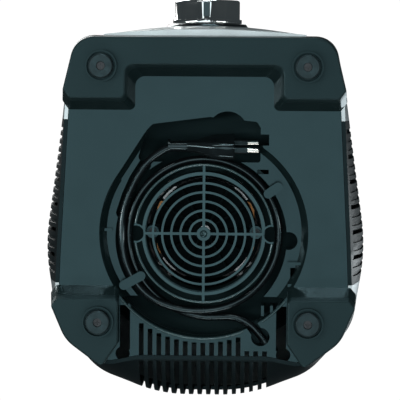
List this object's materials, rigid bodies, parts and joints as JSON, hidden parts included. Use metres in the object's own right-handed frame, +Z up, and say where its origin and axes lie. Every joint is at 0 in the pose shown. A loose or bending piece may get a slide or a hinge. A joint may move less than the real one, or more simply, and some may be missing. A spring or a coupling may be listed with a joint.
{
  "type": "kitchen machine motor base",
  "caption": "Countertop motor base with stepped underside, rubber feet, round intake grille, cord pocket with plug, flared vented sides and a front speed knob.",
  "frame": {"origin": "on the surface that the machine stands on, below the middle of its length and width", "axes": "+Z up, -Y towards the front with the knob, +X to the machine's left as seen from its front"},
  "size_m": [0.2534, 0.3164, 0.1895],
  "materials": {
    "black_moulding": "fine satin texture",
    "ribbed_black": "fine satin texture",
    "silver_shell": "satin silver",
    "chrome": "polished",
    "black_gloss": "glossy",
    "foot_rubber": "matte",
    "seal_rubber": "matte",
    "zinc_screw": "zinc plated",
    "lamination": "varnished sheet edges",
    "winding": "enamelled wire",
    "bracket_alloy": "as cast",
    "bearing_steel": "ground",
    "carbon": "pressed carbon",
    "commutator_copper": "turned",
    "inner_nylon": "natural nylon",
    "circuit_board": "lacquered",
    "cord_sheath": "glossy sheath",
    "pin_metal": "nickel plated",
    "pin_sleeve": "insulating"
  },
  "bodies": {
    "root": {"outer_housing": "silver_shell", "side_vent_left": "ribbed_black", "side_vent_right": "ribbed_black", "rear_vent_grille": "ribbed_black", "base_plate": "black_moulding", "foot_front_left": "foot_rubber", "foot_front_right": "foot_rubber", "foot_rear_left": "foot_rubber", "foot_rear_right": "foot_rubber", "foot_screws": "zinc_screw", "motor_grille": "black_moulding", "grille_screws": "zinc_screw", "front_panel": "silver_shell", "knob_collar": "black_gloss", "speed_switch": "inner_nylon", "top_deck": "black_moulding", "deck_seal": "seal_rubber", "interlock_switch": "ribbed_black", "interlock_spring": "bearing_steel", "field_stack": "lamination", "field_coils": "winding", "motor_bottom_bracket": "bracket_alloy", "motor_top_bracket": "bracket_alloy", "lower_bearing": "bearing_steel", "upper_bearing": "bearing_steel", "motor_spacers": "bracket_alloy", "motor_mounts": "seal_rubber", "motor_bolts": "zinc_screw", "air_shroud": "ribbed_black", "brush_holders": "inner_nylon", "carbon_brushes": "carbon", "brush_springs": "bearing_steel", "control_board": "circuit_board", "board_posts": "inner_nylon", "heat_sink": "bracket_alloy", "terminal_block": "inner_nylon", "cord_coil": "cord_sheath", "cord_exit_lead": "cord_sheath", "cord_plug_lead": "cord_sheath", "cord_bushing": "black_gloss", "plug_body": "black_gloss", "plug_boot": "cord_sheath", "pin_sleeves": "pin_sleeve", "plug_pins": "pin_metal"},
    "rotor": {"motor_shaft": "bearing_steel", "rotor_core": "lamination", "commutator": "commutator_copper", "cooling_fan": "ribbed_black", "drive_coupling": "black_gloss"},
    "knob": {"speed_knob": "chrome", "knob_marker": "black_gloss", "knob_spindle": "bearing_steel"},
    "interlock": {"interlock_plunger": "inner_nylon"}
  },
  "joints": [
    {"name": "rotor_spin", "type": "hinge", "parent": "root", "child": "rotor", "pos_m": [0, 0.024, 0.1], "axis": [0, 0, 1], "continuous": true},
    {"name": "knob_turn", "type": "hinge", "parent": "root", "child": "knob", "pos_m": [0, -0.15, 0.09], "axis": [0, 1, 0], "range_deg": [0, 120]},
    {"name": "interlock_press", "type": "slide", "parent": "root", "child": "interlock", "axis": [0, 0, -1], "range_m": [0, 0.004], "stiffness_N_per_m": 250, "deforming": ["interlock_spring"]}
  ]
}
